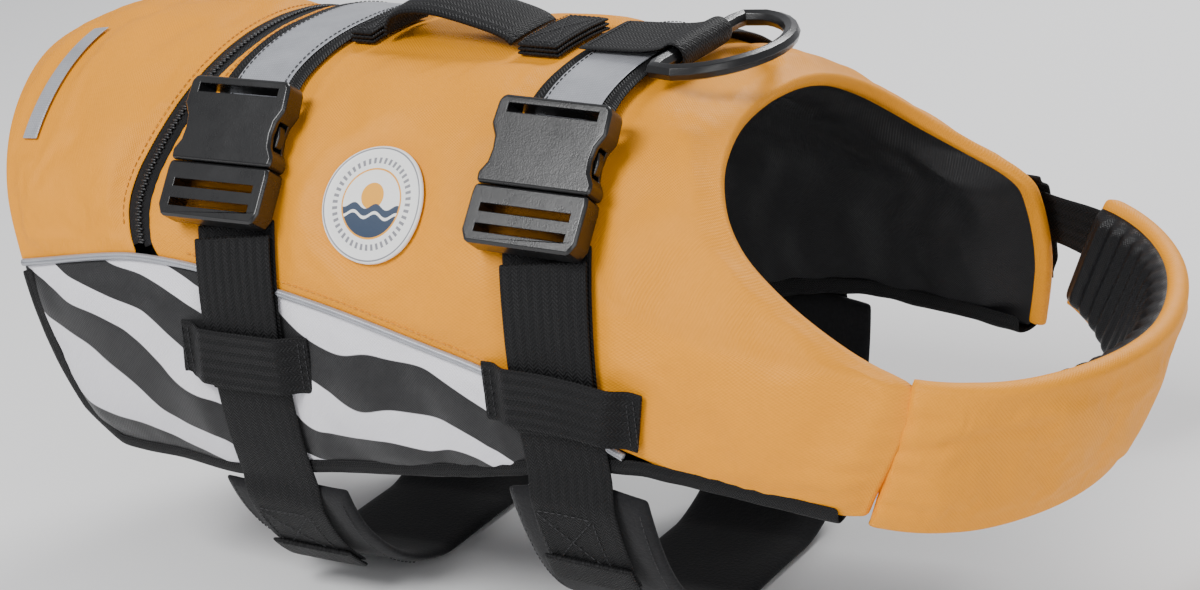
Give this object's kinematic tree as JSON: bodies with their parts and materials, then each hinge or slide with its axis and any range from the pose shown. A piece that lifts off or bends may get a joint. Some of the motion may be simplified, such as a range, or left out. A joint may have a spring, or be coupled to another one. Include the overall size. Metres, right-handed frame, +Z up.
{
  "type": "dog life jacket",
  "caption": "Buoyancy vest for a medium dog: foam-filled shell with rear zip, grab handle, lead ring, side-release girth straps and a chest band.",
  "frame": {"origin": "middle of the flat underside of the front belly pad, on the floor, under the front girth strap", "axes": "+X towards the dog's head, +Y to its left, +Z up"},
  "size_m": [0.5051, 0.216, 0.24],
  "materials": {
    "badge": "moulded soft badge",
    "belly_pad_front": "black nylon webbing or cloth",
    "belly_pad_rear": "black nylon webbing or cloth",
    "belly_webbing_front": "black nylon webbing or cloth",
    "belly_webbing_rear": "black nylon webbing or cloth",
    "buckle_arm_front_front": "black nylon",
    "buckle_arm_front_rear": "black nylon",
    "buckle_arm_rear_front": "black nylon",
    "buckle_arm_rear_rear": "black nylon",
    "buckle_plug_front": "black nylon",
    "buckle_plug_rear": "black nylon",
    "buckle_socket_front": "black nylon",
    "buckle_socket_rear": "black nylon",
    "chest_cover": "yellow polyester weave",
    "chest_foam": "closed-cell foam",
    "chest_lining": "black nylon webbing or cloth",
    "cinch_strap": "black nylon webbing or cloth",
    "closure_loop": "black nylon webbing or cloth",
    "cover_left": "yellow polyester weave",
    "cover_right": "yellow polyester weave",
    "foam_back": "closed-cell foam",
    "foam_left": "closed-cell foam",
    "foam_rear": "closed-cell foam",
    "foam_right": "closed-cell foam",
    "girth_webbing_front": "black nylon webbing or cloth",
    "girth_webbing_rear": "black nylon webbing or cloth",
    "handle_anchor_front": "black nylon webbing or cloth",
    "handle_anchor_rear": "black nylon webbing or cloth",
    "handle_webbing": "black nylon webbing or cloth",
    "hem_binding_left": "black nylon webbing or cloth",
    "hem_binding_right": "black nylon webbing or cloth",
    "hook_tab": "black nylon webbing or cloth",
    "keeper_front": "black nylon webbing or cloth",
    "keeper_rear": "black nylon webbing or cloth",
    "lead_ring": "black nylon",
    "lead_ring_tab": "black nylon webbing or cloth",
    "lining_left": "black nylon webbing or cloth",
    "lining_right": "black nylon webbing or cloth",
    "loop_patch": "black nylon webbing or cloth",
    "neck_binding": "yellow polyester weave",
    "piping_left": "retroreflective tape",
    "piping_right": "retroreflective tape",
    "rear_binding": "yellow polyester weave",
    "rear_cover": "yellow polyester weave",
    "reflective_bar": "retroreflective tape",
    "reflective_tape_front": "retroreflective tape",
    "reflective_tape_rear": "retroreflective tape",
    "side_panel_left": "printed polyester",
    "side_panel_right": "printed polyester",
    "zip_chain": "nylon coil",
    "zip_pull": "black enamel",
    "zip_slider": "black enamel",
    "zip_tape_front": "black nylon webbing or cloth",
    "zip_tape_rear": "black nylon webbing or cloth"
  },
  "bodies": {
    "vest": {"badge": "badge", "belly_pad_front": "belly_pad_front", "belly_pad_rear": "belly_pad_rear", "belly_webbing_front": "belly_webbing_front", "belly_webbing_rear": "belly_webbing_rear", "buckle_socket_front": "buckle_socket_front", "buckle_socket_rear": "buckle_socket_rear", "closure_loop": "closure_loop", "cover_left": "cover_left", "cover_right": "cover_right", "foam_back": "foam_back", "foam_left": "foam_left", "foam_rear": "foam_rear", "foam_right": "foam_right", "girth_webbing_front": "girth_webbing_front", "girth_webbing_rear": "girth_webbing_rear", "handle_anchor_front": "handle_anchor_front", "handle_anchor_rear": "handle_anchor_rear", "hem_binding_left": "hem_binding_left", "hem_binding_right": "hem_binding_right", "keeper_front": "keeper_front", "keeper_rear": "keeper_rear", "lead_ring_tab": "lead_ring_tab", "lining_left": "lining_left", "lining_right": "lining_right", "neck_binding": "neck_binding", "piping_left": "piping_left", "piping_right": "piping_right", "rear_binding": "rear_binding", "rear_cover": "rear_cover", "reflective_bar": "reflective_bar", "reflective_tape_front": "reflective_tape_front", "reflective_tape_rear": "reflective_tape_rear", "side_panel_left": "side_panel_left", "side_panel_right": "side_panel_right", "zip_chain": "zip_chain", "zip_tape_front": "zip_tape_front", "zip_tape_rear": "zip_tape_rear"},
    "front_plug": {"buckle_plug_front": "buckle_plug_front"},
    "front_arm_front": {"buckle_arm_front_front": "buckle_arm_front_front"},
    "front_arm_rear": {"buckle_arm_front_rear": "buckle_arm_front_rear"},
    "rear_plug": {"buckle_plug_rear": "buckle_plug_rear"},
    "rear_arm_front": {"buckle_arm_rear_front": "buckle_arm_rear_front"},
    "rear_arm_rear": {"buckle_arm_rear_rear": "buckle_arm_rear_rear"},
    "zip_runner": {"zip_slider": "zip_slider"},
    "zip_puller": {"zip_pull": "zip_pull"},
    "grab_handle": {"handle_webbing": "handle_webbing"},
    "lead_ring": {"lead_ring": "lead_ring"},
    "chest_band": {"chest_cover": "chest_cover", "chest_foam": "chest_foam", "chest_lining": "chest_lining", "cinch_strap": "cinch_strap", "loop_patch": "loop_patch"},
    "hook_tab": {"hook_tab": "hook_tab"}
  },
  "joints": [
    {"name": "front_buckle_release", "type": "slide", "parent": "vest", "child": "front_plug", "axis": [-0.0234, -0.6298, -0.7764], "range_m": [0, 0.032], "deforming": ["belly_webbing_front", "buckle_arm_front_front", "buckle_arm_front_rear"]},
    {"name": "front_arm_front_squeeze", "type": "hinge", "parent": "front_plug", "child": "front_arm_front", "pos_m": [0.01327, -0.088, 0.19257], "axis": [0.0427, -0.7765, 0.6287], "range_deg": [0, 7], "stiffness_Nm_per_rad": 0.6},
    {"name": "front_arm_rear_squeeze", "type": "hinge", "parent": "front_plug", "child": "front_arm_rear", "pos_m": [-0.00871, -0.0884, 0.19356], "axis": [-0.0427, 0.7765, -0.6287], "range_deg": [0, 7], "stiffness_Nm_per_rad": 0.6},
    {"name": "rear_buckle_release", "type": "slide", "parent": "vest", "child": "rear_plug", "axis": [-0.0095, -0.602, -0.7985], "range_m": [0, 0.032], "deforming": ["belly_webbing_rear", "buckle_arm_rear_front", "buckle_arm_rear_rear"]},
    {"name": "rear_arm_front_squeeze", "type": "hinge", "parent": "rear_plug", "child": "rear_arm_front", "pos_m": [-0.13298, -0.08886, 0.19296], "axis": [0.0038, -0.7985, 0.6019], "range_deg": [0, 7], "stiffness_Nm_per_rad": 0.6},
    {"name": "rear_arm_rear_squeeze", "type": "hinge", "parent": "rear_plug", "child": "rear_arm_rear", "pos_m": [-0.15498, -0.0888, 0.19318], "axis": [-0.0038, 0.7985, -0.6019], "range_deg": [0, 7], "stiffness_Nm_per_rad": 0.6},
    {"name": "zip_run", "type": "hinge", "parent": "vest", "child": "zip_runner", "pos_m": [-0.2073, 0, 0.1245], "axis": [0.959, 0, -0.2833], "range_deg": [0, 98]},
    {"name": "zip_pull_swing", "type": "hinge", "parent": "zip_runner", "child": "zip_puller", "pos_m": [-0.18723, 0.08605, 0.19496], "axis": [0.9982, 0.0276, -0.0526], "range_deg": [0, 80]},
    {"name": "handle_rock", "type": "hinge", "parent": "vest", "child": "grab_handle", "pos_m": [-0.082, 0, 0.2265], "axis": [1, 0, 0], "range_deg": [-10, 10]},
    {"name": "lead_ring_lift", "type": "hinge", "parent": "vest", "child": "lead_ring", "pos_m": [0.0235, 0, 0.2255], "axis": [0, -1, 0], "range_deg": [0, 110]},
    {"name": "chest_band_open", "type": "hinge", "parent": "vest", "child": "chest_band", "pos_m": [0.1452, -0.0921, 0.1045], "axis": [-0.3533, -0.0611, -0.9335], "range_deg": [0, 70], "deforming": ["cinch_strap"]},
    {"name": "hook_tab_peel", "type": "hinge", "parent": "chest_band", "child": "hook_tab", "pos_m": [0.1676, 0.08462, 0.11538], "axis": [0.4168, -0.0583, 0.9071], "range_deg": [0, 100]}
  ]
}
